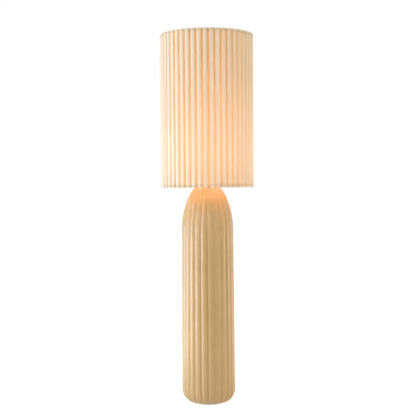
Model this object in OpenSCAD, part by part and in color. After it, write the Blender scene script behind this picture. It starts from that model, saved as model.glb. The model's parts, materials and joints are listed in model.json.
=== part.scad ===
// Floor lamp: a tall ribbed ceramic body, a pleated drum shade on a wire frame, a screw
// lampholder and its bulb. Millimetres, +Z up, the front is -Y, and the origin is on the
// floor at the lamp's axis.

/* [Ceramic body] */
// Height of the ceramic from its foot ring to its top
body_h = 936; // [800:1:1050]
// Width over the ribs just above the foot
body_d_low = 231; // [205:1:250]
// Width over the ribs where the dome starts
body_d_high = 221.5; // [200:0.5:240]
// Height of the ellipse that the dome follows
dome_h = 212; // [150:1:250]
// Width of the flat land at the top
top_land_d = 76; // [66:1:100]
// Width of the foot ring over the ribs
foot_d = 153; // [150:1:175]
// Height of the rounding above the foot ring
foot_round_h = 58; // [50:1:80]
// Thickness of the ceramic behind the grooves
wall_t = 7; // [5.5:0.5:10]
// Number of ribs round the body
rib_count = 24; // [18:2:30]
// Depth of the grooves between the ribs
rib_depth = 5.5; // [2:0.5:7]
// Width of the hole in the ceramic's top
top_hole_d = 36; // [28:1:44]

/* [Foot] */
// Thickness of the felt pad
pad_t = 3; // [2:0.5:5]
// Width of the felt pad
pad_d = 142; // [130:1:144]
// Width of the steel base plate
plate_d = 124; // [116:1:130]
// Thickness of the steel base plate
plate_t = 3; // [2:0.5:4]
// Width of the hole in the ceramic's floor
floor_hole_d = 100; // [92:1:106]
// Inside width of the dish pressed into the base plate
dish_d = 78; // [76:1:82]
// Inside height of that dish
dish_h = 34; // [32:1:40]
// Thickness of the board that closes the dish
board_t = 2; // [1:0.5:3]
// Height of the cord inlet above the foot ring
inlet_h = 29; // [27:1:33]
// Width of the hole through the cord grommets
cord_bore_d = 7; // [5:0.5:8]

/* [Stem and neck] */
// Width of the threaded stem tube
stem_d = 10; // [8:0.5:12]
// Bore of the stem tube
stem_bore_d = 7; // [5.5:0.5:7.5]
// Width of the cap on the ceramic's top
vase_cap_d = 80; // [60:1:100]
// Height of that cap
vase_cap_h = 8; // [6:0.5:12]
// Length of the neck sleeve
neck_h = 38; // [20:1:60]
// Width of the neck sleeve
neck_d = 18; // [15:0.5:24]
// Width of a stem nut across its flats
nut_w = 17; // [16:0.5:18]
// Thickness of the stem nut
nut_t = 8; // [5:0.5:9]

/* [Lampholder] */
// Outside width of the lampholder's shell
shell_d = 40; // [36:0.5:44]
// Height of the shell's shoulder above the lampholder's lower end
shoulder_h = 36; // [33:1:44]
// Length of the shell above its shoulder
shell_top_h = 27; // [24:1:34]
// Width of the shoulder that carries the shade
shoulder_d = 50; // [47:1:54]

/* [Bulb] */
// Width of the bulb
bulb_d = 60; // [50:1:70]
// Length of the bulb from its contact to its top
bulb_h = 107; // [100:1:120]
// Width of the bulb's screw cap
bulb_cap_d = 26; // [25.5:0.1:26.5]

/* [Shade] */
// Width over the pleats
shade_d = 400; // [340:1:460]
// Height of the shade
shade_h = 650; // [450:1:800]
// Height of the shade's seat above its lower edge
spider_recess = 101; // [85:1:140]
// Number of pleats
pleat_count = 48; // [36:1:60]
// Depth of the pleats
pleat_depth = 14; // [8:0.5:18]
// Thickness of the pleated cloth
cloth_t = 1; // [0.8:0.1:1.4]
// Turn of the first fold from the front, in degrees
pleat_turn = 2.9; // [0:0.1:7]
// Width of the tape behind the folds at each edge
tape_h = 14; // [12:1:20]
// Thickness of the frame's wire
wire_d = 4; // [3:0.5:5]
// Number of upright wires in the frame
strut_count = 6; // [6:3:9]
// Outside width of the seat ring at the middle of the spider
seat_ring_d = 54; // [52:0.5:60]
// Thickness of the seat ring
seat_ring_t = 4; // [3:0.5:6]
// Height of the shade ring that clamps the seat ring
shade_ring_h = 12; // [8:0.5:13]

/* [Hidden] */
$fn = 96;

// Gap between curved faces of pieces that move past each other
move_gap = 0.3;
// Gap between curved faces of pieces that are fixed together
seat_gap = 0.2;
// Play on the radius where one thread turns on another
thread_gap = 0.08;
// Play on the radius where the stem passes through a hole
stem_gap = 0.15;
// Gap left at a weld between wires
weld_gap = 0.05;

// Ceramic body
low_r = body_d_low / 2;
high_r = body_d_high / 2;
foot_r = foot_d / 2;
land_r = top_land_d / 2;
body_top_z = pad_t + body_h;
round_top_z = pad_t + foot_round_h;
dome_z = body_top_z - dome_h * sqrt(1 - pow(land_r / high_r, 2));
rebate_r = plate_d / 2 + 0.5;
ledge_z = pad_t + plate_t;
floor_z = ledge_z + wall_t;
ceiling_z = body_top_z - wall_t;
// Steps across one rib, up the rounding, up the straight part and over the dome
rib_steps = 8;
round_steps = 6;
straight_steps = 3;
dome_steps = 14;
// Share of a groove's depth that falls close to its bottom, which makes the ribs fuller
rib_fullness = 0.2;

// Foot hardware
dish_r = dish_d / 2;
dish_z = pad_t + dish_h;
inlet_z = pad_t + inlet_h;
grommet_r = cord_bore_d / 2 + 3;
flange_r = grommet_r + 3;
flange_t = 2.5;
plate_inlet_z = pad_t + dish_h / 2;
block_w = 20;
block_l = 16;
block_h = 13;
block_x = -26;
washer_t = 2;
washer_r = 14;
nut_z = dish_z - washer_t - nut_t;
stem_low_z = nut_z - 3;

// Neck and lampholder, stacked on the ceramic's top
neck_z = body_top_z + vase_cap_h;
neck_nut_t = 5;
holder_z = neck_z + neck_h + neck_nut_t;
shell_r = shell_d / 2;
holder_wall = 2.2;
cup_r = shell_r - 0.5;
cup_h = 24;
core_r = cup_r - holder_wall - seat_gap;
core_z = holder_z + 14;
core_t = 12;
stem_top_z = holder_z + 11;
seat_z = holder_z + shoulder_h;
shell_top_z = seat_z + shell_top_h;
shoulder_t = 3;
sleeve_t = 0.5;
socket_r = bulb_cap_d / 2 + move_gap;

// Bulb, screwed down on the centre contact
contact_h = 5;
tip_z = core_z + core_t + contact_h;
tip_t = 1.5;
glass_t = 3.5;
cap_z = tip_z + tip_t + glass_t;
cap_h = 22;
cap_top_z = cap_z + cap_h;
cap_r = bulb_cap_d / 2;
bulb_r = bulb_d / 2;
bulb_top_z = tip_z + bulb_h;
collar_z = bulb_top_z - bulb_r - 15;
diffuser_t = 1.5;
bulb_cap_t = 0.5;
plug_h = 12;
swell_steps = 8;
board_drop = 3;
board_seat_r = bulb_r - 3;

// Shade
shade_r = shade_d / 2;
shade_z = seat_z - spider_recess;
shade_top_z = shade_z + shade_h;
wire_r = wire_d / 2;
fold_in_r = shade_r - pleat_depth - cloth_t;
tape_t = 0.6;
tape_r = fold_in_r - seat_gap;
frame_r = tape_r - tape_t - seat_gap - wire_r;
low_ring_z = shade_z + tape_h / 2;
top_ring_z = shade_top_z - tape_h / 2;
arm_z = seat_z + seat_ring_t / 2;
hole_r = shell_r + move_gap;
ring_washer_t = 1.2;
ring_z = seat_z + seat_ring_t + ring_washer_t;
ring_r = seat_ring_d / 2 + 1;
grip_count = 18;
arm_count = 3;
pleat_steps = 12;
// Shape of a fold: a larger bias widens the outer plateau, a larger softness rounds its edges
pleat_bias = 0.7;
pleat_soft = 0.28;
// How far the plateau bulges at its middle, and its lean past the fold's bottom in degrees
pleat_crown = 0.2 * pleat_depth;
pleat_lean = 24 / pleat_count;

// Route of the lead inside the foot, from the terminal block to the stem's lower end
flex_d = 4;
flex_sides = 8;
flex_route = [[-26, -14, 30], [-25, -21, 27], [-20, -28, 21], [-10, -31, 15],
    [2, -27, 11], [9, -17, 9], [8, -7, 10], [3, -1, 14.5], [0, 0, 21]];
flex_steps = 4;

// A point on the body's outer face in plan, from the front towards +X
function round_the_axis(r, turn, z) = [r * sin(turn), -r * cos(turn), z];

// Radius over the ribs at the height z
function body_r(z) =
    z < round_top_z ? foot_r + (low_r - foot_r) * sqrt(1 - pow((round_top_z - z) / foot_round_h, 2)) :
    z < dome_z ? low_r + (high_r - low_r) * (z - round_top_z) / (dome_z - round_top_z) :
    high_r * sqrt(1 - pow((z - dome_z) / dome_h, 2));

// Grooves keep their shape as the ribs narrow, so their depth follows the radius
function groove(r) = rib_depth * r / low_r;
// How far the surface has fallen from a rib's crest, at 0, to the groove's bottom, at -1 or 1
function rib_fall(across) = (1 - rib_fullness) * pow(across, 2) + rib_fullness * pow(across, 6);

// Rings of the body from the foot up, each a radius over the ribs and a height
function round_ring(a) = [foot_r + (low_r - foot_r) * sin(a), round_top_z - foot_round_h * cos(a)];
function straight_ring(u) = [low_r + (high_r - low_r) * u, round_top_z + (dome_z - round_top_z) * u];
function dome_ring(a, r, h) = [r * cos(a), dome_z + h * sin(a)];
land_turn = acos(land_r / high_r);
body_rings = concat(
    [for (i = [0 : round_steps]) round_ring(90 * i / round_steps)],
    [for (i = [1 : straight_steps]) straight_ring(i / straight_steps)],
    [for (i = [1 : dome_steps]) dome_ring(land_turn * i / dome_steps, high_r, dome_h)]);

// The space inside follows the outside, one groove and one wall further in
hollow_r = high_r - rib_depth - wall_t;
hollow_h = dome_h - rib_depth - wall_t;
hollow_turn = asin(min(1, (ceiling_z - dome_z) / hollow_h));
function inside_r(z) = body_r(z) - rib_depth - wall_t;
hollow_profile = concat(
    [[0, floor_z]],
    [for (i = [0 : round_steps]) let (z = floor_z + (round_top_z - floor_z) * i / round_steps)
        [inside_r(z), z]],
    [for (i = [0 : dome_steps]) dome_ring(hollow_turn * i / dome_steps, hollow_r, hollow_h)],
    [[0, ceiling_z]]);

// A ribbed solid lofted through the rings, closed by a flat fan at each end
module ribbed_loft(rings) {
    n = rib_count * rib_steps;
    last = len(rings) - 1;
    points = concat(
        [for (ring = rings, k = [0 : n - 1])
            let (across = 2 * (k % rib_steps) / rib_steps - 1)
            round_the_axis(ring[0] - groove(ring[0]) * rib_fall(across), 360 * k / n, ring[1])],
        [[0, 0, rings[0][1]], [0, 0, rings[last][1]]]);
    sides = [for (i = [0 : last - 1], k = [0 : n - 1])
        let (a = i * n + k, b = i * n + (k + 1) % n)
        each [[a, a + n, b + n], [a, b + n, b]]];
    ends = [for (k = [0 : n - 1])
        let (next = (k + 1) % n)
        each [[len(points) - 2, k, next], [len(points) - 1, last * n + next, last * n + k]]];
    polyhedron(points, concat(sides, ends));
}

// A straight round rod that points outwards from the axis, at the height z
module spoke(turn, z, from, to, r) {
    rotate([0, 0, turn]) translate([0, -from, z]) rotate([90, 0, 0]) cylinder(r = r, h = to - from);
}

// A turned piece about the cord inlet's axis, which runs out of the back
module behind(y, z) {
    translate([0, y, z]) rotate([-90, 0, 0]) children();
}

// A ring of round wire
module wire_ring(z) {
    translate([0, 0, z]) rotate_extrude() translate([frame_r, 0]) circle(r = wire_r, $fn = 32);
}

module foot_pad() {
    color("dimgray") cylinder(d = pad_d, h = pad_t);
}

module cover_board() {
    color("sienna") translate([0, 0, pad_t]) cylinder(r = dish_r - seat_gap, h = board_t);
}

// Pressed steel: a flat flange under the ceramic's floor and a dish that hides the stem's end
module base_plate() {
    color("black") difference() {
        rotate_extrude() polygon([
            [dish_r, pad_t], [plate_d / 2, pad_t], [plate_d / 2, ledge_z],
            [dish_r + plate_t, ledge_z], [dish_r + plate_t, dish_z + plate_t - 2],
            [dish_r + plate_t - 2, dish_z + plate_t],
            [0, dish_z + plate_t], [0, dish_z], [dish_r, dish_z]]);
        translate([0, 0, dish_z - 1]) cylinder(r = stem_d / 2 + stem_gap, h = plate_t + 2);
        behind(0, plate_inlet_z) cylinder(r = grommet_r + seat_gap, h = dish_r + plate_t + 5);
    }
}

// The face that the inlet's flange sits on is cut just below the grooves beside it
inlet_face_y = body_r(inlet_z - flange_r) - rib_depth - 1;

module ceramic_body() {
    color("burlywood") difference() {
        ribbed_loft(body_rings);
        rotate_extrude() polygon(hollow_profile);
        translate([0, 0, pad_t - 1]) cylinder(r = rebate_r, h = plate_t + 1);
        cylinder(d = floor_hole_d, h = floor_z + 5);
        translate([0, 0, ceiling_z - 5]) cylinder(d = top_hole_d, h = wall_t + 10);
        behind(0, inlet_z) cylinder(r = grommet_r + seat_gap, h = low_r + 5);
        behind(inlet_face_y, inlet_z) cylinder(r = flange_r + seat_gap, h = low_r);
    }
}

// Rubber bush with a rounded flange outside and a neck through the wall
module grommet(neck_h) {
    rotate_extrude() polygon([
        [cord_bore_d / 2, -neck_h], [grommet_r - 0.6, -neck_h], [grommet_r, -neck_h + 1],
        [grommet_r, 0], [flange_r, 0], [flange_r, flange_t - 1], [flange_r - 1, flange_t],
        [cord_bore_d / 2 + 0.8, flange_t], [cord_bore_d / 2, flange_t - 0.8]]);
}

inlet_neck = inlet_face_y - inside_r(inlet_z - grommet_r) + 3;

module cord_grommet() {
    color("dimgray") behind(inlet_face_y, inlet_z) grommet(inlet_neck);
}

module plate_grommet() {
    color("dimgray") behind(dish_r + plate_t + seat_gap, plate_inlet_z) grommet(plate_t + 2);
}

// Two-pole block fixed under the dish's roof: each pole has a wire hole along Y and its screw's hole
module terminal_block() {
    color("ivory") difference() {
        translate([block_x - block_l / 2, -block_w / 2, dish_z - block_h])
            cube([block_l, block_w, block_h]);
        for (side = [-1, 1]) translate([block_x + side * block_l / 4, 0, dish_z - block_h]) {
            translate([0, 0, -1]) cylinder(d = 3.4, h = 7);
            translate([0, -block_w / 2 - 1, block_h / 2]) rotate([-90, 0, 0])
                cylinder(d = 2.6, h = block_w + 2);
        }
    }
}

module terminal_screws() {
    color("goldenrod") for (side = [-1, 1])
        translate([block_x + side * block_l / 4, 0, dish_z - block_h + 2]) difference() {
            cylinder(d = 3.2, h = 4);
            translate([-2, -0.3, -1]) cube([4, 0.6, 1.8]);
        }
}

// Smooth curve through the route's points
function between(a, b, c, d, u) =
    ((2 * b) + (c - a) * u + (2 * a - 5 * b + 4 * c - d) * pow(u, 2)
        + (3 * b - a - 3 * c + d) * pow(u, 3)) / 2;
function smooth(p) = [for (i = [0 : len(p) - 2], s = [0 : flex_steps - 1])
    between(p[max(i - 1, 0)], p[i], p[i + 1], p[min(i + 2, len(p) - 1)], s / flex_steps)];
function unit(v) = v / norm(v);
// A normal carried along the curve without twisting
function carried(way, n, i = 0) =
    i == len(way) ? [] :
    let (m = unit(n - (n * way[i]) * way[i])) concat([m], carried(way, m, i + 1));

flex_low = flex_route[len(flex_route) - 1];
flex_start = [block_x, -block_w / 2 - seat_gap, dish_z - block_h / 2];
flex_path = concat(smooth(concat([flex_start], flex_route, [[flex_low[0], flex_low[1], stem_low_z + 8]])),
    [[0, 0, stem_low_z + 8], [0, 0, core_z]]);

module internal_flex() {
    p = flex_path;
    last = len(p) - 1;
    way = [for (i = [0 : last]) unit(p[min(i + 1, last)] - p[max(i - 1, 0)])];
    side = carried(way, [1, 0, 0]);
    points = concat([for (i = [0 : last], k = [0 : flex_sides - 1])
        let (a = 360 * k / flex_sides)
        p[i] + flex_d / 2 * (cos(a) * side[i] + sin(a) * cross(way[i], side[i]))], [p[0], p[last]]);
    tube = [for (i = [0 : last - 1], k = [0 : flex_sides - 1])
        let (a = i * flex_sides + k, b = i * flex_sides + (k + 1) % flex_sides)
        each [[a, a + flex_sides, b + flex_sides], [a, b + flex_sides, b]]];
    ends = [for (k = [0 : flex_sides - 1])
        let (next = (k + 1) % flex_sides)
        each [[len(points) - 2, k, next],
            [len(points) - 1, last * flex_sides + next, last * flex_sides + k]]];
    color("white") polyhedron(points, concat(tube, ends));
}

module stem_tube() {
    color("silver") translate([0, 0, stem_low_z]) difference() {
        cylinder(d = stem_d, h = stem_top_z - stem_low_z);
        translate([0, 0, -1]) cylinder(d = stem_bore_d, h = stem_top_z - stem_low_z + 2);
    }
}

module stem_washer() {
    color("silver") translate([0, 0, dish_z - washer_t]) difference() {
        cylinder(r = washer_r, h = washer_t);
        translate([0, 0, -1]) cylinder(r = stem_d / 2 + stem_gap, h = washer_t + 2);
    }
}

// Hexagonal nut of the given height, threaded on the stem
module nut(t) {
    difference() {
        cylinder(d = nut_w / cos(30), h = t, $fn = 6);
        translate([0, 0, -1]) cylinder(r = stem_d / 2 + thread_gap, h = t + 2);
    }
}

module stem_nut() {
    color("silver") translate([0, 0, nut_z]) nut(nut_t);
}

module centring_bush() {
    color("ivory") translate([0, 0, ceiling_z]) difference() {
        cylinder(r = top_hole_d / 2 - seat_gap, h = wall_t);
        translate([0, 0, -1]) cylinder(r = stem_d / 2 + stem_gap, h = wall_t + 2);
        translate([0, 0, -1]) rotate_extrude() translate([stem_d / 2 + 3, 0])
            square([top_hole_d / 2 - stem_d / 2 - 6, wall_t - 2]);
    }
}

// Spun brass cap: a low dome over the ceramic's land, with a flat seat for the neck
vase_arc_steps = 8;
module vase_cap() {
    r = vase_cap_d / 2;
    seat_r = neck_d / 2 + 2;
    rim_t = 2;
    arc = [for (i = [0 : vase_arc_steps]) let (a = 90 * i / vase_arc_steps)
        [seat_r + (r - seat_r) * cos(a), rim_t + (vase_cap_h - rim_t) * sin(a)]];
    color("goldenrod") translate([0, 0, body_top_z]) rotate_extrude() polygon(concat(
        [[stem_d / 2 + stem_gap, 0], [r, 0]], arc, [[stem_d / 2 + stem_gap, vase_cap_h]]));
}

module neck_sleeve() {
    color("goldenrod") translate([0, 0, neck_z]) difference() {
        cylinder(d = neck_d, h = neck_h);
        translate([0, 0, -1]) cylinder(r = stem_d / 2 + stem_gap, h = neck_h + 2);
        for (z = [3, neck_h - 3])
            translate([0, 0, z]) rotate_extrude() translate([neck_d / 2 + 0.4, 0]) circle(r = 1, $fn = 24);
    }
}

module neck_nut() {
    color("goldenrod") translate([0, 0, holder_z - neck_nut_t]) nut(neck_nut_t);
}

// Lower cup of the lampholder, threaded on the stem, with a ledge for the core
module lampholder_cap() {
    hub_r = stem_d / 2 + 4;
    color("white") translate([0, 0, holder_z]) rotate_extrude() polygon([
        [stem_d / 2 + thread_gap, 0], [hub_r, 0], [hub_r, 4], [cup_r - 2, 13], [cup_r, 16],
        [cup_r, cup_h], [cup_r - holder_wall, cup_h], [cup_r - holder_wall, 14],
        [cup_r - holder_wall - 2, 14], [cup_r - holder_wall - 2.5, 13],
        [hub_r - 1, 6.5], [hub_r - 1, 8], [stem_d / 2 + thread_gap, 8]]);
}

// Porcelain core with a wire way through its middle
module lampholder_core() {
    color("white") translate([0, 0, core_z]) difference() {
        cylinder(r = core_r, h = core_t);
        for (side = [-1, 1])
            translate([side * core_r / 2, 0, -1]) cylinder(d = 4.4, h = 7);
        translate([-core_r - 1, core_r - 3, -1]) cube([2 * core_r + 2, 4, core_t - 3]);
    }
}

module core_screws() {
    color("goldenrod") for (side = [-1, 1])
        translate([side * core_r / 2, 0, core_z + 1]) difference() {
            cylinder(d = 4, h = 5);
            translate([-2.5, -0.4, -1]) cube([5, 0.8, 2]);
        }
}

// Brass screw sleeve that the bulb's cap turns in
module screw_sleeve() {
    color("goldenrod") translate([0, 0, core_z + core_t + 2]) difference() {
        cylinder(r = socket_r + sleeve_t, h = cap_h + 4);
        translate([0, 0, -1]) cylinder(r = socket_r, h = cap_h + 6);
    }
}

// Sprung tongue of strip brass that presses on the bulb's contact
module centre_contact() {
    strip_t = 0.5;
    strip_w = 6;
    h = contact_h;
    color("gold") translate([0, strip_w / 2, core_z + core_t]) rotate([90, 0, 0])
        linear_extrude(strip_w) polygon([
            [-10, 0], [3, 0], [3, strip_t], [-9, strip_t], [-4, h - strip_t], [3.5, h - strip_t],
            [4.5, h - 2], [5, h - 1.8], [3.8, h], [-4.3, h], [-10, strip_t + 0.2]]);
}

// Outer sleeve: it traps the core, carries the shade on its shoulder and is threaded above
module lampholder_shell() {
    step_z = core_z + core_t + seat_gap;
    color("white") difference() {
        union() {
            translate([0, 0, holder_z + cup_h]) cylinder(r = shell_r, h = shell_top_z - holder_z - cup_h);
            translate([0, 0, seat_z - shoulder_t]) cylinder(d = shoulder_d, h = shoulder_t);
        }
        translate([0, 0, holder_z]) cylinder(r = cup_r - holder_wall, h = step_z - holder_z);
        translate([0, 0, holder_z]) cylinder(r = socket_r + sleeve_t + seat_gap, h = shell_top_z);
    }
}

// Clamp ring with finger grips, screwed down the shell's outside
module shade_ring() {
    color("white") translate([0, 0, ring_z]) difference() {
        cylinder(r = ring_r, h = shade_ring_h);
        translate([0, 0, -1]) cylinder(r = shell_r + thread_gap, h = shade_ring_h + 2);
        for (i = [0 : grip_count - 1]) rotate([0, 0, 360 * i / grip_count])
            translate([ring_r + 0.8, 0, 2]) cylinder(r = 2, h = shade_ring_h, $fn = 24);
    }
}

module ring_washer() {
    color("gainsboro") translate([0, 0, seat_z + seat_ring_t]) difference() {
        cylinder(r = ring_r - 1.5, h = ring_washer_t);
        translate([0, 0, -1]) cylinder(r = hole_r, h = ring_washer_t + 2);
    }
}

module bulb_contact() {
    color("silver") translate([0, 0, tip_z]) cylinder(r1 = 3.5, r2 = 4.5, h = tip_t);
}

module bulb_insulator() {
    color("black") translate([0, 0, tip_z + tip_t]) cylinder(r1 = 5.5, r2 = cap_r - 3, h = glass_t);
}

// Thin plated cup; its thread turns in the lampholder's sleeve
module bulb_cap() {
    t = bulb_cap_t;
    color("silver") translate([0, 0, cap_z]) rotate_extrude() polygon([
        [0, 0], [cap_r - 3, 0], [cap_r, 3], [cap_r, cap_h], [cap_r - t, cap_h],
        [cap_r - t, 3.2], [cap_r - 3.2, t], [0, t]]);
}

// White housing, from a plug inside the cap to the seat of the diffuser
module bulb_body() {
    plug_r = cap_r - bulb_cap_t - seat_gap;
    low_z = max(cap_top_z, shell_top_z) + 1.5;
    swell = [for (i = [0 : swell_steps]) let (u = i / swell_steps)
        [cap_r + (bulb_r - cap_r) * (u - sin(360 * u) / 10), low_z + (collar_z - low_z) * u]];
    color("white") rotate_extrude() polygon(concat(
        [[0, cap_top_z - plug_h], [plug_r, cap_top_z - plug_h], [plug_r, cap_top_z],
            [cap_r, cap_top_z]],
        swell, [[bulb_r - diffuser_t, collar_z], [board_seat_r, collar_z - board_drop],
            [0, collar_z - board_drop]]));
}

module led_board() {
    color("whitesmoke") translate([0, 0, collar_z - board_drop])
        cylinder(r = board_seat_r - seat_gap, h = 1.6);
}

// Opal dome: a short cylinder that closes in half a sphere
module bulb_diffuser() {
    centre_z = bulb_top_z - bulb_r;
    steps = 12;
    turns = [for (i = [0 : steps]) 90 * i / steps];
    r = bulb_r - diffuser_t;
    outer = [for (a = turns) [bulb_r * cos(a), centre_z + bulb_r * sin(a)]];
    inner = [for (a = turns) [r * sin(a), centre_z + r * cos(a)]];
    color("white") rotate_extrude() polygon(concat(
        [[r, collar_z], [bulb_r, collar_z]], outer, inner));
}

// Flat ring at the middle of the spider, seated on the lampholder's shoulder
module seat_ring() {
    color("white") translate([0, 0, seat_z]) difference() {
        cylinder(d = seat_ring_d, h = seat_ring_t);
        translate([0, 0, -1]) cylinder(r = hole_r, h = seat_ring_t + 2);
    }
}

module spider_arms() {
    color("white") for (i = [0 : arm_count - 1])
        spoke(360 * (i + 0.5) / arm_count, arm_z, seat_ring_d / 2 + weld_gap,
            frame_r - wire_r - weld_gap, wire_r * 0.9);
}

module shade_struts() {
    bottom = low_ring_z + wire_r + weld_gap;
    color("white") for (i = [0 : strut_count - 1])
        translate(round_the_axis(frame_r, 360 * (i + 0.5) / strut_count + 30, bottom))
            cylinder(r = wire_r, h = top_ring_z - wire_r - weld_gap - bottom, $fn = 32);
}

module shade_bottom_ring() {
    color("white") wire_ring(low_ring_z);
}

module shade_top_ring() {
    color("white") wire_ring(top_ring_z);
}

// Binding tape between the folds and the frame's wire
module tape(z) {
    translate([0, 0, z]) difference() {
        cylinder(r = tape_r, h = tape_h, $fn = 192);
        translate([0, 0, -1]) cylinder(r = tape_r - tape_t, h = tape_h + 2, $fn = 192);
    }
}

module shade_bottom_tape() {
    color("linen") tape(shade_z);
}

module shade_top_tape() {
    color("linen") tape(shade_top_z - tape_h);
}

// How far out the cloth lies across one pleat: 1 on the plateau, 0 in the fold
function crest(c) = (c + pleat_bias) / sqrt(pow(c + pleat_bias, 2) + pow(pleat_soft, 2));
function fold_share(turn) = (crest(-cos(pleat_count * turn)) - crest(-1)) / (crest(1) - crest(-1));
function pleat_r(turn) = shade_r - (pleat_depth - pleat_crown) * (1 - fold_share(turn))
    - pleat_crown * (1 + cos(pleat_count * turn)) / 2;
function pleat_point(turn) =
    let (a = turn + pleat_turn + pleat_lean * (fold_share(turn) - 0.5))
    pleat_r(turn) * [sin(a), -cos(a)];
// The same point moved in by the cloth's thickness, square to the cloth
function pleat_inner(turn) =
    let (step = pleat_point(turn + 0.05) - pleat_point(turn - 0.05))
    pleat_point(turn) + cloth_t * [-step[1], step[0]] / norm(step);

module shade_skin() {
    n = pleat_count * pleat_steps;
    turns = [for (i = [0 : n - 1]) 360 * i / n];
    outer = [for (t = turns) pleat_point(t)];
    inner = [for (t = turns) pleat_inner(t)];
    color("antiquewhite") translate([0, 0, shade_z]) linear_extrude(shade_h) difference() {
        polygon(outer);
        polygon(inner);
    }
}

foot_pad();
cover_board();
base_plate();
ceramic_body();
cord_grommet();
plate_grommet();
terminal_block();
terminal_screws();
internal_flex();
stem_tube();
stem_washer();
stem_nut();
centring_bush();
vase_cap();
neck_sleeve();
neck_nut();
lampholder_cap();
lampholder_core();
core_screws();
screw_sleeve();
centre_contact();
lampholder_shell();
shade_ring();
ring_washer();
bulb_contact();
bulb_insulator();
bulb_cap();
bulb_body();
led_board();
bulb_diffuser();
seat_ring();
spider_arms();
shade_struts();
shade_bottom_ring();
shade_top_ring();
shade_bottom_tape();
shade_top_tape();
shade_skin();
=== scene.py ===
"""Looks of the floor lamp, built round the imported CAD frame. Metres, +Z up, the front is -Y."""
import json
from math import acos, asin, ceil, cos, pi, radians, sin, sqrt

import bpy
from mathutils import Matrix, Vector, noise

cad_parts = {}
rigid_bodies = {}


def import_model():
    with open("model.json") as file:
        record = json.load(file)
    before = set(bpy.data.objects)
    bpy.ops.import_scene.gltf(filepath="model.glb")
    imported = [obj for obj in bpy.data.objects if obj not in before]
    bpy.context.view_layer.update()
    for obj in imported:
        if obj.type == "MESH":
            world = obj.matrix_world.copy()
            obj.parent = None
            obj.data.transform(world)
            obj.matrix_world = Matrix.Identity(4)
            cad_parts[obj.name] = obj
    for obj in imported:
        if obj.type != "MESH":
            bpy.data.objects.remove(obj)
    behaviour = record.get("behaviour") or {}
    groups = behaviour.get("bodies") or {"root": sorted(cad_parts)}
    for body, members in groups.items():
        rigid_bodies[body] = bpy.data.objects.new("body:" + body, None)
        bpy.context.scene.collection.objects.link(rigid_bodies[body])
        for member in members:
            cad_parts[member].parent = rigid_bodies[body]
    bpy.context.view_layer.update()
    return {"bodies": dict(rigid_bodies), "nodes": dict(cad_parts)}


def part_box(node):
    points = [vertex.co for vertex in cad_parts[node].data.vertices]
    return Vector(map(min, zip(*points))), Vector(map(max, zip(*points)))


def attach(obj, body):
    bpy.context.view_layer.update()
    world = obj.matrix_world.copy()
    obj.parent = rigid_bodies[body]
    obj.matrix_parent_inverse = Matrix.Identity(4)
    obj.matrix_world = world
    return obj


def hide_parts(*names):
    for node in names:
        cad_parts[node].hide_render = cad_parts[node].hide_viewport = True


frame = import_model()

MM = 0.001
bodies = frame["bodies"]
nodes = frame["nodes"]


def linear(r, g, b):
    """A colour given as it looks on screen, from 0 to 255, as the renderer's own values."""
    def one(c):
        c /= 255
        return c / 12.92 if c <= 0.04045 else ((c + 0.055) / 1.055) ** 2.4
    return (one(r), one(g), one(b))


# Ceramic body: the sizes of the CAD node, with finer steps and the marks of the hand

BODY_LOW_R = 115.5 * MM
BODY_HIGH_R = 110.75 * MM
FOOT_R = 76.5 * MM
LAND_R = 38 * MM
LAND_EDGE = 1.5 * MM
LAND_RIBS = 0.6
LIP = 8 * MM
ROUND_H = 58 * MM
DOME_H = 212 * MM
WALL = 7 * MM
RIB_DEPTH = 5.5 * MM
RIB_ROUND = 0.8
RIB_SHARP = 0.2
RIBS = 24
REBATE_R = 62.5 * MM
REBATE_H = 3 * MM
FLOOR_HOLE_R = 50 * MM
TOP_HOLE_R = 18 * MM
RIB_STEPS = 20
FOOT_STEPS = 14
SIDE_STEPS = 48
DOME_STEPS = 36
INSIDE_STEPS = 14
INSIDE_FOOT_STEPS = 10
RIB_UNEVEN = 0.05
HAND_WAVES = 0.5 * MM
TOOL_MARKS = 0.18 * MM
RIB_SWAY = 0.22
body_low, body_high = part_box("ceramic_body")
foot_z = body_low.z
body_top = body_high.z
round_top = foot_z + ROUND_H
dome_z = body_top - DOME_H * sqrt(1 - (LAND_R / BODY_HIGH_R) ** 2)

# Cord inlet in the ceramic's back, round the grommet

grommet_low, grommet_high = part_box("cord_grommet")
inlet_z = (grommet_low.z + grommet_high.z) / 2
grommet_r = (grommet_high.x - grommet_low.x) / 2
GROMMET_FLANGE = 2.5 * MM
GROMMET_NECK = 2.8 * MM
GROMMET_GAP = 0.2 * MM
INLET_START = 60 * MM
INLET_END = 130 * MM
INLET_STEPS = 48

# Screw threads of the bulb's cap, the lampholder's shell and the stem

BULB_PITCH = 25.4 / 7 * MM
BULB_THREAD = 0.6 * MM
BULB_CREST = 0.15 * MM
BULB_THREAD_FROM = 0.4 * MM
BULB_THREAD_TO = 0.6 * MM
CAP_WALL = 0.5 * MM
CAP_BEVEL = 3 * MM
CAP_FILLET = 0.2 * MM
SHELL_PITCH = 2.5 * MM
SHELL_THREAD = 1.0 * MM
SHELL_LEAD = 0.5 * MM
SHELL_R = 20 * MM
SHELL_RIM = 2.7 * MM
SHOULDER_T = 3 * MM
CORE_GAP = 0.2 * MM
STEM_PITCH = 1.0 * MM
STEM_THREAD = 0.5 * MM
THREAD_COLUMNS = 72
THREAD_STEPS = 18
SHARP_ON_THREAD = radians(50)
SHARP_ON_CAD = radians(32)

# Shade: one folded sheet with a doubled hem at each end

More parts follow.
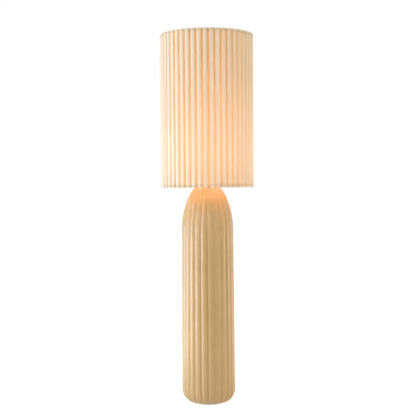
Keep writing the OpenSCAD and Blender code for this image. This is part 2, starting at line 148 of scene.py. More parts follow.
shade_low, shade_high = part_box("shade_skin")
SHADE_R = 200 * MM
SHADE_INSET = 0.3 * MM
PLEATS = 48
PLEAT_DEPTH = 14 * MM
PLEAT_TURN = 2.9
PLEAT_BIAS = 0.7
PLEAT_SOFT = 0.28
PLEAT_LEAN = 0.5
PLEAT_CROWN = 0.2 * PLEAT_DEPTH
PLEAT_UNEVEN = 0.04
PLEAT_SWAY = 0.15
CLOTH = 1.0 * MM
CLOTH_WAVES = 0.3 * MM
HEM = 14 * MM
HEM_EXTRA = 0.45 * MM
HEM_STEP_FROM = HEM - 1.3 * MM
HEM_STEP_TO = HEM - 0.2 * MM
HEM_GATHER = 0.04
HEM_DRAW = 0.5 * MM
RIM_ROUNDING = 0.35 * MM
RIM_ROUNDING_H = 0.7 * MM
RIM_SCALLOP = 4.5 * MM
FOLD_STEPS = 22
CLOTH_ROWS = 28
FIRST_ROW = 12 * MM
EDGE_ROWS = (0.0, 0.8 * MM, 4 * MM, 8 * MM, HEM - 1.2 * MM, HEM - 0.4 * MM, HEM, HEM + 5 * MM)

# Look of the cloth: how much light it passes, its stitches, its tones and the shade painted into its
# folds

PLATEAU_FROM = SHADE_R - 0.75 * PLEAT_DEPTH
PLATEAU_TO = SHADE_R - 0.15 * PLEAT_DEPTH
PLATEAU_PASSES = 0.20
FOLD_PASSES = 0.34
HEM_PASSES = 0.9
HEM_TONE = (0.95, 0.94, 0.93)
HEM_EDGE = 0.85
SEAM = 11 * MM
SEAM_HALF = 0.7 * MM
SEAM_FADE = 1.1 * MM
STITCHES = 336
STITCH_HALF = 0.30
STITCH_FADE = 0.36
THREAD_TONE = (0.83, 0.76, 0.67)
# Painted shade: a darker, warmer cloth colour in the folds, where shade falls between the pleats
FOLD_PAINTED_SHADE = linear(255, 226, 190)
FOLD_PASSED = linear(255, 235, 184)
CLOTH_PASSED = linear(255, 255, 255)
CLOTH_OUTSIDE = linear(254, 232, 208)
CLOTH_INSIDE = linear(250, 240, 226)

# Light

BULB_POWER = 1.8
BULB_EVEN = 30.0
BULB_COLOUR = (1.0, 0.80, 0.86)
BULB_R = 24 * MM
BULB_BELOW_TOP = 55 * MM
WORLD = 0.40
WORLD_COLOUR = (0.95, 1.0, 0.76)
WHITE = (1.0, 1.0, 1.0)
FLOOR_LIFT = 0.75
FLOOR_HALF = 12.0


# Small tools

def smoothstep(low, high, x):
    t = min(1.0, max(0.0, (x - low) / (high - low)))
    return t * t * (3 - 2 * t)


def grain(x, y, z, seed=0.0):
    """Smooth noise from about -1 to 1, another one for each seed."""
    return noise.noise(Vector((x + 17.3 * seed, y - 9.1 * seed, z + 4.7 * seed)))


def link(name, data):
    thing = bpy.data.objects.new(name, data)
    bpy.context.scene.collection.objects.link(thing)
    return thing


def make_object(name, vertices, faces, smooth=True):
    mesh = bpy.data.meshes.new(name)
    mesh.from_pydata(vertices, [], faces)
    mesh.update()
    if smooth:
        mesh.polygons.foreach_set("use_smooth", [True] * len(mesh.polygons))
    return link(name, mesh)


def tube_grid(rows, columns, closed_rows=False):
    """Faces of a grid that closes round its columns, and round its rows too if asked."""
    last = rows if closed_rows else rows - 1
    return [
        (
            i * columns + k,
            i * columns + (k + 1) % columns,
            (i + 1) % rows * columns + (k + 1) % columns,
            (i + 1) % rows * columns + k,
        )
        for i in range(last)
        for k in range(columns)
    ]


def around(r, turn, z):
    """A point at a turn in degrees from the front, towards +X."""
    return (r * sin(radians(turn)), -r * cos(radians(turn)), z)


# Materials

class Shader:
    """A short way to write the nodes of the world or a light."""

    def __init__(self, owner, output):
        owner.use_nodes = True
        self.owner = owner
        self.tree = owner.node_tree
        self.tree.nodes.clear()
        self.output = self.add(output)

    def add(self, kind, **inputs):
        """A node with its inputs set by name, with _ for a space."""
        node = self.tree.nodes.new(kind)
        for key, value in inputs.items():
            self.put(node.inputs[key.replace("_", " ")], value)
        return node

    def put(self, socket, value):
        if isinstance(value, bpy.types.NodeSocket):
            self.tree.links.new(value, socket)
        elif socket.type == "RGBA" and len(value) == 3:
            socket.default_value = (*value, 1.0)
        else:
            socket.default_value = value

    def math(self, operation, a, b=0.0, c=0.0, clamp=False):
        node = self.add("ShaderNodeMath")
        node.operation = operation
        node.use_clamp = clamp
        for socket, value in zip(node.inputs, (a, b, c)):
            self.put(socket, value)
        return node.outputs[0]

    def join(self, kind, *inputs):
        """Two shaders joined, after their share where the kind of node has one."""
        node = self.add(kind)
        for socket, value in zip(node.inputs, inputs):
            self.put(socket, value)
        return node.outputs[0]

    def seen(self):
        """1 for a ray that shows the background itself, in gloss and glass too."""
        ray = self.add("ShaderNodeLightPath")
        shown = self.math("MAXIMUM", ray.outputs["Is Camera Ray"], ray.outputs["Is Glossy Ray"])
        return self.math("MAXIMUM", shown, ray.outputs["Is Transmission Ray"])

    def done(self, surface):
        self.put(self.output.inputs["Surface"], surface)
        return self.owner


class Material(Shader):
    """A short way to write the nodes of a material."""

    def __init__(self, name):
        super().__init__(bpy.data.materials.new(name), "ShaderNodeOutputMaterial")
        self.place = self.add("ShaderNodeTexCoord").outputs["Object"]

    def axes(self):
        spot = self.add("ShaderNodeSeparateXYZ", Vector=self.place)
        return tuple(spot.outputs[axis] for axis in "XYZ")

    def turns(self, x, y):
        """The turn about the axis, from -1/2 to 1/2."""
        return self.math("DIVIDE", self.math("ARCTAN2", y, x), 2 * pi)

    def noise(self, scale, detail, roughness, stretch=None):
        where = self.place
        if stretch:
            mapping = self.add("ShaderNodeMapping", Vector=where, Scale=stretch)
            where = mapping.outputs["Vector"]
        node = self.add("ShaderNodeTexNoise", Vector=where, Scale=scale, Detail=detail,
                        Roughness=roughness)
        return node.outputs["Fac"]

    def ramp(self, value, stops):
        node = self.add("ShaderNodeValToRGB", Fac=value)
        ramp = node.color_ramp
        while len(ramp.elements) < len(stops):
            ramp.elements.new(0.5)
        for element, (position, colour) in zip(ramp.elements, stops):
            element.position = position
            element.color = (*colour, 1.0)
        return node.outputs["Color"]

    def span(self, value, low, high, to_low=0.0, to_high=1.0):
        node = self.add("ShaderNodeMapRange", Value=value, From_Min=low, From_Max=high,
                        To_Min=to_low, To_Max=to_high)
        return node.outputs["Result"]

    def mix(self, factor, a, b, blend="MIX"):
        node = self.add("ShaderNodeMix")
        node.data_type = "RGBA"
        node.blend_type = blend
        self.put(node.inputs[0], factor)
        self.put(node.inputs[6], a)
        self.put(node.inputs[7], b)
        return node.outputs[2]

    def multiply(self, factor, a, b):
        return self.mix(factor, a, b, "MULTIPLY")

    def bump(self, height, strength, distance, onto=None):
        node = self.add("ShaderNodeBump", Height=height, Strength=strength, Distance=distance)
        if onto:
            self.put(node.inputs["Normal"], onto)
        return node.outputs["Normal"]

    def principled(self, colour, roughness, normal=None, **inputs):
        node = self.add("ShaderNodeBsdfPrincipled", Base_Color=colour, Roughness=roughness, **inputs)
        if normal:
            self.put(node.inputs["Normal"], normal)
        return node.outputs["BSDF"]


def ceramic_material():
    """Satin sand-coloured ceramic: fine grit with a few dark specks."""
    s = Material("sand_ceramic")
    body = s.noise(7.0, 4.0, 0.6)
    fine = s.noise(420.0, 3.0, 0.7)
    specks = s.noise(1100.0, 1.0, 0.5)
    base = s.ramp(body, [(0.30, linear(195, 156, 98)), (0.55, linear(200, 161, 104)),
                         (0.75, linear(206, 169, 114))])
    sand = s.ramp(fine, [(0.30, (0.84, 0.82, 0.79)), (0.50, WHITE), (0.72, (1.08, 1.08, 1.08))])
    tint = s.multiply(0.85, base, sand)
    dark = s.ramp(specks, [(0.24, linear(140, 112, 80)), (0.30, WHITE)])
    colour = s.multiply(0.5, tint, dark)
    grit = s.bump(fine, 0.12, 0.8 * MM)
    normal = s.bump(specks, 0.2, 0.4 * MM, grit)
    return s.done(s.principled(colour, 0.30, normal, Specular_IOR_Level=0.8))


def slubbed(s, tone, scale):
    """A tone with the slightly darker slubs of a woven yarn."""
    slub = s.noise(scale, 3.0, 0.6, stretch=(1.0, 1.0, 0.08))
    return s.multiply(0.5, tone, s.ramp(slub, [(0.3, (0.93, 0.92, 0.90)), (0.7, WHITE)]))


def cloth_material(name, tone):
    """Cream cloth that passes some of the bulb's light.

    It passes less on the plateau of each pleat and at the doubled hems than in the folds."""
    s = Material(name)
    x, y, z = s.axes()
    radius = s.math("SQRT", s.math("ADD", s.math("MULTIPLY", x, x), s.math("MULTIPLY", y, y)))
    low = s.span(z, shade_low.z + HEM, shade_low.z + HEM * HEM_EDGE)
    high = s.span(z, shade_high.z - HEM, shade_high.z - HEM * HEM_EDGE)
    hem = s.math("MAXIMUM", low, high, clamp=True)
    plateau = s.span(radius, PLATEAU_FROM, PLATEAU_TO)
    passes = s.span(plateau, 0.0, 1.0, FOLD_PASSES, PLATEAU_PASSES)
    passes = s.math("MULTIPLY", passes, s.span(hem, 0.0, 1.0, 1.0, HEM_PASSES))
    threads = s.noise(900.0, 2.0, 0.6, stretch=(1.0, 1.0, 0.12))
    cross = s.noise(900.0, 2.0, 0.6, stretch=(0.2, 0.2, 1.0))
    weave = s.math("ADD", threads, cross)
    # The folds get painted shade, a darker and warmer tone than the plateau
    front = slubbed(s, s.mix(plateau, FOLD_PAINTED_SHADE, tone), 260.0)
    front = s.mix(hem, front, s.multiply(1.0, front, HEM_TONE))
    passed = slubbed(s, s.mix(plateau, FOLD_PASSED, CLOTH_PASSED), 180.0)
    above = s.math("SUBTRACT", z, shade_low.z)
    below = s.math("SUBTRACT", shade_high.z, z)
    from_seam = s.math("ABSOLUTE", s.math("SUBTRACT", s.math("MINIMUM", above, below), SEAM))
    beat = s.math("FRACT", s.math("MULTIPLY", s.turns(x, y), STITCHES))
    from_stitch = s.math("ABSOLUTE", s.math("SUBTRACT", beat, 0.5))
    stitch = s.math("MULTIPLY", s.span(from_seam, SEAM_FADE, SEAM_HALF),
                    s.span(from_stitch, STITCH_FADE, STITCH_HALF))
    front = s.mix(stitch, front, s.multiply(1.0, front, THREAD_TONE))
    normal = s.bump(stitch, 0.5, 0.6 * MM, s.bump(weave, 0.25, 0.4 * MM))
    face = s.principled(front, 0.8, normal, Sheen_Weight=0.1, Specular_IOR_Level=0.25)
    through = s.add("ShaderNodeBsdfTranslucent", Color=passed, Normal=normal)
    return s.done(s.join("ShaderNodeMixShader", passes, face, through.outputs[0]))


def tape_material():
    s = Material("binding_tape")
    weave = s.noise(1400.0, 2.0, 0.6)
    colour = s.ramp(weave, [(0.3, linear(214, 196, 170)), (0.7, linear(236, 222, 200))])
    return s.done(s.principled(colour, 0.9, s.bump(weave, 0.4, 0.4 * MM)))


def painted_wire_material():
    s = Material("white_wire")
    orange_peel = s.noise(600.0, 2.0, 0.5)
    wear = s.noise(40.0, 4.0, 0.6)
    colour = s.ramp(wear, [(0.25, linear(214, 208, 196)), (0.6, linear(236, 232, 224))])
    rough = s.span(wear, 0.3, 0.7, 0.38, 0.5)
    return s.done(s.principled(colour, rough, s.bump(orange_peel, 0.2, 0.2 * MM)))


def brass_material(name, light, dark):
    s = Material(name)
    brushed = s.noise(500.0, 3.0, 0.6, stretch=(1.0, 1.0, 0.05))
    patina = s.noise(45.0, 4.0, 0.6)
    colour = s.ramp(patina, [(0.3, dark), (0.65, light)])
    rough = s.span(brushed, 0.3, 0.7, 0.24, 0.42)
    return s.done(s.principled(colour, rough, s.bump(brushed, 0.15, 0.2 * MM), Metallic=1.0))


def stem_thread(s, normal):
    """The fine turns of the stem's right-handed thread, which lies hidden in other pieces."""
    x, y, z = s.axes()
    phase = s.math("FRACT", s.math("SUBTRACT", s.math("DIVIDE", z, STEM_PITCH), s.turns(x, y)))
    slope = s.math("ABSOLUTE", s.math("SUBTRACT", s.math("MULTIPLY", phase, 2.0), 1.0))
    return s.bump(slope, 1.0, STEM_THREAD, normal)


def plated_material(name, light, dark, low=0.25, high=0.45, threaded=False):
    s = Material(name)
    haze = s.noise(300.0, 3.0, 0.6)
    colour = s.ramp(haze, [(0.3, dark), (0.7, light)])
    normal = s.bump(haze, 0.1, 0.2 * MM)
    if threaded:
        normal = stem_thread(s, normal)
    rough = s.span(haze, 0.3, 0.7, low, high)
    return s.done(s.principled(colour, rough, normal, Metallic=1.0))


def plastic_material(name, light, dark, roughness, scale=350.0, bump=0.15, **inputs):
    s = Material(name)
    texture = s.noise(scale, 3.0, 0.6)
    tone = s.noise(30.0, 2.0, 0.5)
    colour = s.ramp(tone, [(0.3, dark), (0.7, light)])
    rough = s.span(texture, 0.3, 0.7, roughness - 0.06, roughness + 0.06)
    return s.done(s.principled(colour, rough, s.bump(texture, bump, 0.3 * MM), **inputs))


def opal_material():
    s = Material("lit_opal")
    haze = s.noise(60.0, 2.0, 0.5)
    colour = s.ramp(haze, [(0.3, linear(250, 238, 214)), (0.7, linear(255, 246, 228))])
    return s.done(s.principled(colour, 0.35, Emission_Color=linear(255, 214, 150),
                               Emission_Strength=1.2))


# Ceramic body

def body_radius(z):
    if z < round_top:
        return FOOT_R + (BODY_LOW_R - FOOT_R) * sqrt(max(0.0, 1 - ((round_top - z) / ROUND_H) ** 2))
    if z < dome_z:
        return BODY_LOW_R + (BODY_HIGH_R - BODY_LOW_R) * (z - round_top) / (dome_z - round_top)
    return BODY_HIGH_R * sqrt(max(0.0, 1 - ((z - dome_z) / DOME_H) ** 2))


def body_outline():
    """Radius, height and how much of the ribs shows, round the whole section of the wall."""
    section = []
    for i in range(FOOT_STEPS + 1):
        a = pi / 2 * i / FOOT_STEPS
        section.append((FOOT_R + (BODY_LOW_R - FOOT_R) * sin(a), round_top - ROUND_H * cos(a), 1.0))
    for i in range(1, SIDE_STEPS):
        z = round_top + (dome_z - round_top) * i / SIDE_STEPS
        section.append((body_radius(z), z, 1.0))
    top_turn = acos(LAND_R / BODY_HIGH_R)
    for i in range(DOME_STEPS + 1):
        a = top_turn * i / DOME_STEPS
        section.append((BODY_HIGH_R * cos(a), dome_z + DOME_H * sin(a), 1.0))
    ceiling = body_top - WALL
    section += [(LAND_R - LAND_EDGE, body_top, LAND_RIBS), (TOP_HOLE_R + LIP, body_top, 0.0),
                (TOP_HOLE_R, body_top, 0.0), (TOP_HOLE_R, ceiling, 0.0)]
    hollow_r = BODY_HIGH_R - RIB_DEPTH - WALL
    hollow_h = DOME_H - RIB_DEPTH - WALL
    hollow_turn = asin((ceiling - dome_z) / hollow_h)
    for i in range(INSIDE_STEPS + 1):
        a = hollow_turn * (1 - i / INSIDE_STEPS)
        section.append((hollow_r * cos(a), dome_z + hollow_h * sin(a), 0.0))
    floor_z = foot_z + REBATE_H + WALL
    for i in range(1, INSIDE_STEPS + 1):
        z = dome_z + (round_top - dome_z) * i / INSIDE_STEPS
        section.append((body_radius(z) - RIB_DEPTH - WALL, z, 0.0))
    for i in range(1, INSIDE_FOOT_STEPS + 1):
        z = round_top + (floor_z - round_top) * i / INSIDE_FOOT_STEPS
        section.append((body_radius(z) - RIB_DEPTH - WALL, z, 0.0))
    section += [(FLOOR_HOLE_R, floor_z, 0.0), (FLOOR_HOLE_R, foot_z + REBATE_H, 0.0),
                (REBATE_R, foot_z + REBATE_H, 0.0), (REBATE_R, foot_z, 0.0)]
    return section


def ceramic_piece():
    columns = RIBS * RIB_STEPS
    section = body_outline()
    vertices = []
    for r, z, ribbed in section:
        depth = RIB_DEPTH * r / BODY_LOW_R
        for k in range(columns):
            rib, step = divmod(k, RIB_STEPS)
            turn = 360 * k / columns
            across = 2 * step / RIB_STEPS - 1
            out = r
            if ribbed:
                own = 1 + RIB_UNEVEN * grain(rib * 3.7, z * 2.2, 0.0, 1)
                out -= ribbed * depth * own * (RIB_ROUND * across ** 2 + RIB_SHARP * across ** 6)
                x, y, _ = around(1.0, turn, 0.0)
                out += ribbed * HAND_WAVES * grain(x * 2.4, y * 2.4, z * 9.0, 2)
                out += ribbed * TOOL_MARKS * grain(x * 16, y * 16, z * 70.0, 3)
                turn += ribbed * RIB_SWAY * grain(x * 3.0, y * 3.0, z * 5.0, 4)
            vertices.append(around(out, turn, z))
    return make_object("ribbed_ceramic", vertices,
                       tube_grid(len(section), columns, closed_rows=True))


def cut_inlet(piece, radius, start):
    """Cut a round hole along Y at the inlet's height, from a given depth to outside the wall."""
    steps = INLET_STEPS
    vertices = [(radius * cos(2 * pi * i / steps), y, inlet_z + radius * sin(2 * pi * i / steps))
                for y in (start, INLET_END) for i in range(steps)]
    faces = [(i, i + steps, (i + 1) % steps + steps, (i + 1) % steps) for i in range(steps)]
    faces += [tuple(range(steps)), tuple(reversed(range(steps, 2 * steps)))]
    cutter = make_object("cutter", vertices, faces)
    change = piece.modifiers.new("cut", "BOOLEAN")
    change.operation = "DIFFERENCE"
    change.solver = "EXACT"
    change.object = cutter
    bpy.context.view_layer.update()
    depsgraph = bpy.context.evaluated_depsgraph_get()
    mesh = bpy.data.meshes.new_from_object(piece.evaluated_get(depsgraph))
    piece.modifiers.clear()
    piece.data = mesh
    bpy.data.objects.remove(cutter)


def build_ceramic():
    piece = ceramic_piece()
    cut_inlet(piece, grommet_r - GROMMET_NECK, INLET_START)
    cut_inlet(piece, grommet_r + GROMMET_GAP, grommet_high.y - GROMMET_FLANGE)
    piece.data.materials.append(ceramic_material())
    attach(piece, "base")
    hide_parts("ceramic_body")


# Threaded pieces

def plain(*points):
    """Rows of a section without a thread."""
    return [(r, z, False) for r, z in points]


def thread_rows(radius, low, high, pitch):
    """Rows of a threaded wall from its lower to its upper end."""
    count = ceil((high - low) / pitch * THREAD_STEPS)
    return [(radius, low + (high - low) * i / count, True) for i in range(count + 1)]


def turned_piece(name, section, pitch, depth, closed):
    """A section turned about the axis.

    Its threaded rows sink in a right-handed groove, which runs out at both ends. A section
    that isn't closed starts and ends with a flat disc."""
    heights = [z for r, z, threaded in section if threaded]
    low, high = min(heights), max(heights)
    vertices = []
    for r, z, threaded in section:
        run_out = smoothstep(low, low + pitch / 2, z) * (1 - smoothstep(high - pitch / 2, high, z))
        for k in range(THREAD_COLUMNS):
            out = r
            if threaded:
                phase = z / pitch - k / THREAD_COLUMNS
                out -= depth * run_out * (0.5 - 0.5 * cos(2 * pi * phase))
            vertices.append(around(out, 360 * k / THREAD_COLUMNS, z))
    faces = tube_grid(len(section), THREAD_COLUMNS, closed)
    if not closed:
        last = (len(section) - 1) * THREAD_COLUMNS
        faces.append(tuple(reversed(range(THREAD_COLUMNS))))
        faces.append(tuple(range(last, last + THREAD_COLUMNS)))
    piece = make_object(name, vertices, faces)
    piece.data.set_sharp_from_angle(angle=SHARP_ON_THREAD)
    return piece


def build_bulb_cap():
    low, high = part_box("bulb_cap")
    r = high.x
    bevel_z = low.z + CAP_BEVEL
    section = plain((r - CAP_BEVEL, low.z), (r, bevel_z))
    section += thread_rows(r + BULB_CREST, bevel_z + BULB_THREAD_FROM, high.z - BULB_THREAD_TO,
                           BULB_PITCH)
    section += plain((r, high.z), (r - CAP_WALL, high.z), (r - CAP_WALL, bevel_z + CAP_FILLET),
                     (r - CAP_BEVEL - CAP_FILLET, low.z + CAP_WALL))
    piece = turned_piece("threaded_bulb_cap", section, BULB_PITCH, BULB_THREAD, closed=False)
    piece.data.materials.append(plated_material(
        "nickel_plate", linear(212, 208, 200), linear(188, 184, 176), low=0.18, high=0.32))
    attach(piece, "bulb")
    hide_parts("bulb_cap")


def build_lampholder_shell():
    low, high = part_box("lampholder_shell")
    seat_low, seat_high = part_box("seat_ring")
    cup_bore = SHELL_R - SHELL_RIM
    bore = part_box("screw_sleeve")[1].x + CORE_GAP
    step_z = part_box("lampholder_core")[1].z + CORE_GAP
    under_z = seat_low.z - SHOULDER_T
    section = plain((cup_bore, low.z), (SHELL_R, low.z), (SHELL_R, under_z), (high.x, under_z),
                    (high.x, seat_low.z), (SHELL_R, seat_low.z))
    section += thread_rows(SHELL_R, seat_high.z, high.z - SHELL_LEAD, SHELL_PITCH)
    section += plain((SHELL_R, high.z), (bore, high.z), (bore, step_z), (cup_bore, step_z))
    piece = turned_piece("threaded_shell", section, SHELL_PITCH, SHELL_THREAD, closed=True)
    piece.data.materials.append(plastic_material(
        "white_shell", linear(236, 233, 226), linear(228, 224, 216), roughness=0.36))
    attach(piece, "base")
    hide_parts("lampholder_shell")


# Pleated shade

def crest(c):
    """A wave with a broad flat top and a narrow bottom, from the cosine of its turn."""
    return (c + PLEAT_BIAS) / sqrt((c + PLEAT_BIAS) ** 2 + PLEAT_SOFT ** 2)


def fold_share(turn):
    """1 on a pleat's outer plateau, 0 at the bottom of the fold, which is at turn 0."""
    return (crest(-cos(radians(PLEATS * turn))) - crest(-1)) / (crest(1) - crest(-1))


def shade_rows():
    """Heights of the rows of the cloth, with the step of each hem."""
    low, high = shade_low.z, shade_high.z
    first = low + HEM + FIRST_ROW
    tall = high - low - 2 * HEM - 2 * FIRST_ROW
    inner = [first + tall * i / CLOTH_ROWS for i in range(CLOTH_ROWS + 1)]
    return [low + e for e in EDGE_ROWS] + inner + [high - e for e in reversed(EDGE_ROWS)]


def from_end(z):
    return min(z - shade_low.z, shade_high.z - z)


def cloth_point(turn, z, pleat):
    """A point in the middle of the cloth."""
    end = from_end(z)
    x, y, _ = around(1.0, turn, 0.0)
    own = 1 + PLEAT_UNEVEN * grain(pleat * 2.31, z * 1.3, 0.0, 5)
    gathered = 1 - HEM_GATHER * (1 - smoothstep(0.0, 2.2 * HEM, end))
    share = fold_share(turn)
    depth = PLEAT_DEPTH * own * gathered
    r = SHADE_R - CLOTH / 2 - SHADE_INSET - (depth - PLEAT_CROWN) * (1 - share)
    r -= PLEAT_CROWN * (1 + cos(radians(PLEATS * turn))) / 2
    r -= HEM_DRAW * (1 - smoothstep(0.0, 2.0 * HEM, end))
    r += CLOTH_WAVES * grain(x * 5.0, y * 5.0, z * 7.0, 6) * share
    sway = PLEAT_SWAY * grain(pleat * 1.73, z * 2.1, 3.0, 7) * smoothstep(0.0, 3 * HEM, end)
    scallop = RIM_SCALLOP * (1 - share) * (1 - smoothstep(0.0, HEM, end))
    z += scallop if z < (shade_low.z + shade_high.z) / 2 else -scallop
    return Vector(around(r, turn + PLEAT_LEAN * (share - 0.5) + sway + PLEAT_TURN, z))


def half_thickness(z):
    """Half of the cloth's thickness: doubled at the hem, rounded at the rim."""
    end = from_end(z)
    thick = CLOTH / 2 + HEM_EXTRA * (1 - smoothstep(HEM_STEP_FROM, HEM_STEP_TO, end))
    return thick - RIM_ROUNDING * (1 - smoothstep(0.0, RIM_ROUNDING_H, end))


def build_shade():
    rows = shade_rows()
    columns = PLEATS * FOLD_STEPS
    middle = []
    for z in rows:
        row = []
        for k in range(columns):
            pleat = (k + FOLD_STEPS // 2) // FOLD_STEPS % PLEATS
            row.append(cloth_point(360 * k / columns, z, pleat))
        middle.append(row)
    outside, inside = [], []
    for z, row in zip(rows, middle):
        thick = half_thickness(z)
        for k, point in enumerate(row):
            along = row[(k + 1) % columns] - row[k - 1]
            out = Vector((along.y, -along.x, 0)).normalized()
            outside.append(point + out * thick)
            inside.append(point - out * thick)
    count = len(rows)
    shift = count * columns
    outer = tube_grid(count, columns)
    inner = [tuple(reversed([i + shift for i in face])) for face in outer]
    rims = []
    for k in range(columns):
        n = (k + 1) % columns
        rims.append((n, k, k + shift, n + shift))
        a, b = (count - 1) * columns + k, (count - 1) * columns + n
        rims.append((a, b, b + shift, a + shift))
    piece = make_object("pleated_shade", outside + inside, outer + inner + rims)
    piece.data.materials.append(cloth_material("pleated_cloth", CLOTH_OUTSIDE))
    piece.data.materials.append(cloth_material("pleated_cloth_inside", CLOTH_INSIDE))
    for face in piece.data.polygons[len(outer):len(outer) + len(inner)]:
        face.material_index = 1
    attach(piece, "shade")
    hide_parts("shade_skin")
    row = middle[count // 2]


# Finish of the CAD nodes

def dress(material, *names):
    for name in names:
        mesh = nodes[name].data
        mesh.materials.clear()
        mesh.materials.append(material)


def dress_metal():
    zinc = (linear(190, 192, 196), linear(160, 162, 168))
    dress(brass_material("satin_brass", linear(206, 168, 98), linear(176, 136, 74)),
          "vase_cap", "neck_sleeve", "neck_nut")
    dress(brass_material("contact_brass", linear(224, 190, 112), linear(196, 156, 84)),
          "terminal_screws", "core_screws", "screw_sleeve", "centre_contact")
    dress(plated_material("zinc_steel", *zinc), "stem_washer", "stem_nut")
    dress(plated_material("zinc_thread", *zinc, threaded=True), "stem_tube")
    dress(plated_material("dull_solder", linear(176, 176, 176), linear(150, 150, 152),
                          low=0.4, high=0.6), "bulb_contact")
    dress(painted_wire_material(),
          "seat_ring", "spider_arms", "shade_struts", "shade_bottom_ring", "shade_top_ring")


def dress_others():
    dress(plastic_material("white_moulding", linear(236, 233, 226), linear(228, 224, 216),
                           roughness=0.36), "lampholder_cap", "shade_ring")
    dress(plastic_material("ivory_moulding", linear(230, 222, 202), linear(220, 212, 190),
                           roughness=0.5), "terminal_block", "centring_bush", "ring_washer")
    dress(plastic_material("bulb_housing", linear(240, 238, 232), linear(232, 230, 224),
                           roughness=0.42), "bulb_body")
    dress(plastic_material("porcelain", linear(240, 238, 232), linear(230, 227, 219),
                           roughness=0.16, scale=80.0, bump=0.05), "lampholder_core")
    dress(plastic_material("black_rubber", linear(58, 54, 50), linear(44, 41, 38),
                           roughness=0.75, scale=900.0, bump=0.3), "cord_grommet", "plate_grommet")
    dress(plastic_material("black_glass", linear(34, 33, 36), linear(26, 25, 28),
                           roughness=0.14, scale=90.0, bump=0.05), "bulb_insulator")
    dress(plastic_material("flex_sheath", linear(232, 230, 222), linear(222, 219, 210),
                           roughness=0.55), "internal_flex")
    dress(plastic_material("black_coat", linear(52, 51, 50), linear(42, 41, 40),
                           roughness=0.5, scale=1200.0, bump=0.5), "base_plate")
    dress(plastic_material("hardboard", linear(126, 94, 62), linear(104, 76, 50),
                           roughness=0.8, scale=700.0, bump=0.6), "cover_board")
    dress(plastic_material("led_board", linear(238, 238, 234), linear(228, 228, 224),
                           roughness=0.35), "led_board")
    dress(plastic_material("felt", linear(84, 80, 76), linear(66, 63, 60),
                           roughness=0.95, scale=1500.0, bump=0.9, Sheen_Weight=0.3), "foot_pad")
    dress(opal_material(), "bulb_diffuser")
    dress(tape_material(), "shade_bottom_tape", "shade_top_tape")


def smooth_nodes():
    """Round CAD faces shade as round, with their edges kept."""
    for node in nodes.values():
        mesh = node.data
        mesh.polygons.foreach_set("use_smooth", [True] * len(mesh.polygons))
        mesh.set_sharp_from_angle(angle=SHARP_ON_CAD)


# Light, floor and camera

def area_light(name, place, aim_z, width, height, power, colour, spread=180):
    """A soft box at a place, turned to a height on the lamp's axis."""
    data = bpy.data.lights.new(name, "AREA")
    data.shape = "RECTANGLE"
    data.size = width
    data.size_y = height
    data.energy = power
    data.color = colour
    data.spread = radians(spread)
    lamp = link(name, data)
    lamp.location = place
    aim = Vector((0, 0, aim_z)) - Vector(place)
    lamp.rotation_euler = aim.to_track_quat("-Z", "Y").to_euler()


def studio_lights():
    area_light("side", (-1.12, -0.23, 0.35), 0.35, width=0.26, height=0.82, power=2.4,
               colour=(0.68, 0.80, 1.12), spread=85)
    area_light("side_top", (-1.3, -0.2, 1.9), 1.7, width=0.22, height=0.7, power=9.0,
               colour=(0.64, 0.88, 1.14))
    area_light("front_left", (-2.53, -2.12, 1.5), 1.4, width=1.2, height=1.6, power=32.0,
               colour=(0.80, 0.84, 0.96))
    area_light("front", (0.85, -3.19, 1.4), 1.4, width=1.5, height=1.6, power=17.0,
               colour=(1.0, 1.0, 0.86))
    area_light("low_back", (1.08, 0.32, 0.36), 0.36, width=0.14, height=0.82, power=0.5,
               colour=(1.0, 0.95, 0.92), spread=85)
    area_light("rim", (3.1, -0.11, 1.1), 1.1, width=0.4, height=2.2, power=19.0,
               colour=(1.0, 0.80, 0.68))


def bulb_light():
    """The bulb's glow. An even part of it stands for the light that the shade throws about."""
    data = bpy.data.lights.new("bulb_glow", "POINT")
    data.energy = BULB_POWER
    data.color = BULB_COLOUR
    data.shadow_soft_size = BULB_R
    s = Shader(data, "ShaderNodeOutputLight")
    fall = s.add("ShaderNodeLightFalloff", Strength=1.0)
    strength = s.math("MULTIPLY_ADD", fall.outputs["Constant"], BULB_EVEN, fall.outputs["Quadratic"])
    s.done(s.add("ShaderNodeEmission", Strength=strength).outputs[0])
    lamp = link("bulb_glow", data)
    lamp.location = (0, 0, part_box("bulb_diffuser")[1].z - BULB_BELOW_TOP)
    for name in ("bulb_diffuser", "bulb_body", "led_board"):
        nodes[name].visible_shadow = False
    lamp.parent = bodies["bulb"]


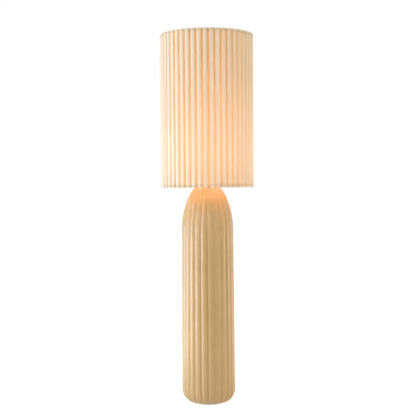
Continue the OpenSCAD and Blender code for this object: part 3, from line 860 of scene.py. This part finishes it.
def world_light():
    """Soft light from all round, and a white background."""
    world = bpy.data.worlds.new("studio")
    bpy.context.scene.world = world
    s = Shader(world, "ShaderNodeOutputWorld")
    lit = s.add("ShaderNodeBackground", Color=WORLD_COLOUR, Strength=WORLD)
    white = s.add("ShaderNodeBackground", Color=WHITE, Strength=1.0)
    s.done(s.join("ShaderNodeMixShader", s.seen(), lit.outputs[0], white.outputs[0]))


def floor():
    """A pale matte floor that looks white and keeps the lamp's shadow."""
    s = Material("pale_floor")
    tone = s.noise(3.0, 2.0, 0.5)
    colour = s.ramp(tone, [(0.3, (0.80, 0.80, 0.80)), (0.7, (0.83, 0.83, 0.83))])
    matte = s.principled(colour, 0.9, Specular_IOR_Level=0.1)
    glow = s.add("ShaderNodeEmission", Strength=s.math("MULTIPLY", s.seen(), FLOOR_LIFT))
    half = FLOOR_HALF
    corners = [(-half, -half, 0), (half, -half, 0), (half, half, 0), (-half, half, 0)]
    piece = make_object("studio_floor", corners, [(0, 1, 2, 3)], smooth=False)
    piece.data.materials.append(s.done(s.join("ShaderNodeAddShader", matte, glow.outputs[0])))


def photo_camera():
    """The photograph's view: distance, height and lens were fitted to the shade's rims."""
    distance = 3.749
    height = 0.963
    pitch = radians(1.95)
    roll = radians(0.43)
    azimuth = radians(0.7)
    focal_px = 871.0
    frame_px = 416.0
    data = bpy.data.cameras.new("photo_camera")
    data.sensor_width = 36.0
    data.sensor_fit = "HORIZONTAL"
    data.lens = focal_px / frame_px * data.sensor_width
    data.shift_x = 0.5 / frame_px
    camera = link("photo_camera", data)
    place = Matrix.Rotation(azimuth, 4, "Z") @ Matrix.Translation((0, -distance, height))
    aim = Matrix.Rotation(pi / 2 - pitch, 4, "X")
    camera.matrix_world = place @ aim @ Matrix.Rotation(-roll, 4, "Z")
    bpy.context.scene.camera = camera


photo_camera()
build_ceramic()
build_bulb_cap()
build_lampholder_shell()
build_shade()
dress_metal()
dress_others()
smooth_nodes()
floor()
world_light()
studio_lights()
bulb_light()
bpy.context.scene.view_settings.view_transform = "Standard"
